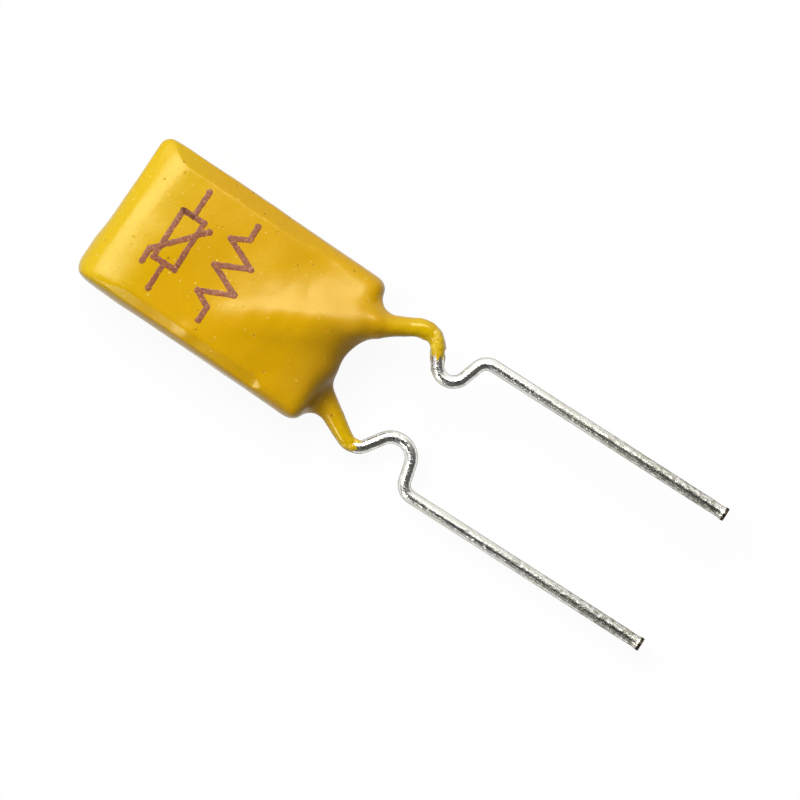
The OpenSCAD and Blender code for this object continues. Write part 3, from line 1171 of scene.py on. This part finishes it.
path = add_node(tree, "ShaderNodeLightPath").outputs
shown = math_node(tree, "MAXIMUM", path["Is Camera Ray"], mirrored(tree, path))
glow = add_node(tree, "ShaderNodeEmission", {"Color": WHITE, "Strength": 1.0}).outputs[0]
matte = add_node(tree, "ShaderNodeBsdfDiffuse", {"Color": WHITE}).outputs[0]
dim = add_node(tree, "ShaderNodeBsdfDiffuse", {"Color": BOUNCE}).outputs[0]
bright = add_node(tree, "ShaderNodeMixShader", {0: FLOOR_GLOW, 1: matte, 2: glow}).outputs[0]
final = add_node(tree, "ShaderNodeMixShader", {0: shown, 1: dim, 2: bright}).outputs[0]
tree.links.new(final, tree.nodes["Material Output"].inputs["Surface"])
tree.nodes.remove(shader)
floor.data.materials.append(white)
print("floor", FLOOR_SIZE, "m wide")

# %% [markdown]
# The light tent
#
# Bright metal shows nothing but its surroundings, so the sky is a light tent for reflections
# alone: white on the lamp's side, grey on the other and open to the dark room at the lower
# right, with a dark gap overhead where the lens looks in. For all other light the sky is only
# a weak even fill. Directions are given as the picture has them, to the right, up and towards
# the camera.

# %% Directions of the picture
ROLL = math.radians(32.7)
PICTURE_RIGHT = Vector((math.cos(ROLL), math.sin(ROLL), 0))
PICTURE_UP = Vector((-math.sin(ROLL), math.cos(ROLL), 0))


def from_picture(right, up, height):
    return PICTURE_RIGHT * right + PICTURE_UP * up + Vector((0, 0, height))


print("picture right", [round(v, 3) for v in PICTURE_RIGHT], "up", [round(v, 3) for v in PICTURE_UP])

# %% Pitch the tent
TENT_SIDE = from_picture(-0.3, 0.95, 0).normalized()
TENT_EDGES = (0.15, 0.45)
TENT_GREY = 0.34
DARK_SIDE = from_picture(0.75, -0.66, 0).normalized()
DARK_EDGES = (0.12, 0.4)
DARK_LEVEL = 0.27
LENS_GAP = from_picture(-0.14, -0.2, 0.97).normalized()
GAP_EDGES = (math.cos(math.radians(28)), math.cos(math.radians(18)))
GAP_LEVEL = 0.08
FILL = 0.1
scene = bpy.context.scene
scene.view_settings.view_transform = "Standard"
scene.world = bpy.data.worlds.new("light_tent")
scene.world.use_nodes = True
tree = scene.world.node_tree
sky = tree.nodes["Background"]
direction = add_node(tree, "ShaderNodeTexCoord").outputs["Generated"]


def cloth_towards(axis, edges, low, high):
    inputs = {0: direction, 1: axis}
    leaning = add_node(tree, "ShaderNodeVectorMath", inputs, operation="DOT_PRODUCT").outputs["Value"]
    return remap(tree, leaning, *edges, low, high)


def choose(tree, factor, otherwise, chosen):
    inputs = {"Factor": factor, "A": otherwise, "B": chosen}
    return add_node(tree, "ShaderNodeMix", inputs).outputs["Result"]


cloth = cloth_towards(TENT_SIDE, TENT_EDGES, TENT_GREY, 1.0)
cloth = times(tree, cloth, cloth_towards(DARK_SIDE, DARK_EDGES, 1.0, DARK_LEVEL))
cloth = times(tree, cloth, cloth_towards(LENS_GAP, GAP_EDGES, 1.0, GAP_LEVEL))
path = add_node(tree, "ShaderNodeLightPath").outputs
level = choose(tree, mirrored(tree, path), FILL, cloth)
level = choose(tree, path["Is Camera Ray"], level, 1.0)
tree.links.new(level, sky.inputs["Strength"])
sky.inputs["Color"].default_value = WHITE
print("tent of", len(tree.nodes), "nodes")

# %% [markdown]
# The lamps
#
# One broad softbox hangs above the top of the picture. Its wide shape sets the width of the
# highlights on the crown and past the signs. A much weaker small one at the lower left opens
# the shadow of the long lower side.

# %% Hang the lamps


def softbox(name, place, size, power):
    lamp = bpy.data.lights.new(name, "AREA")
    lamp.shape = "RECTANGLE"
    lamp.size, lamp.size_y = size
    lamp.energy = power
    holder = bpy.data.objects.new(name, lamp)
    scene.collection.objects.link(holder)
    holder.location = place
    holder.rotation_euler = (-Vector(place)).to_track_quat("-Z", "Y").to_euler()
    print(name, "lamp of", power, "W,", round(place.length, 3), "m away")


softbox("key", from_picture(-0.06, 0.139, 0.199), size=(0.25, 0.16), power=0.72)
softbox("low_left", from_picture(-0.128, -0.096, 0.125), size=(0.05, 0.05), power=0.07)

# %% [markdown]
# The camera
#
# The photograph looks straight down on the fuse, which lies turned across the picture. A long
# lens keeps the sides of the coat from showing, and the camera is rolled rather than the
# fuse, so the part keeps its own frame.

# %% Place the camera
PHOTO_WIDTH = 800
PIXELS_TO_A_MM = 30.39
SENSOR = 36
DISTANCE = 0.3
AIM = (0.121, -0.05)
view_width = PHOTO_WIDTH / PIXELS_TO_A_MM * MM
lens = bpy.data.cameras.new("camera")
lens.sensor_width = SENSOR
lens.lens = SENSOR * DISTANCE / view_width
lens.clip_start = 0.01
camera = bpy.data.objects.new("camera", lens)
scene.collection.objects.link(camera)
camera.location = (AIM[0] * MM, AIM[1] * MM, DISTANCE)
camera.rotation_euler = (0, 0, ROLL)
scene.camera = camera
print("lens of", round(lens.lens), "mm")
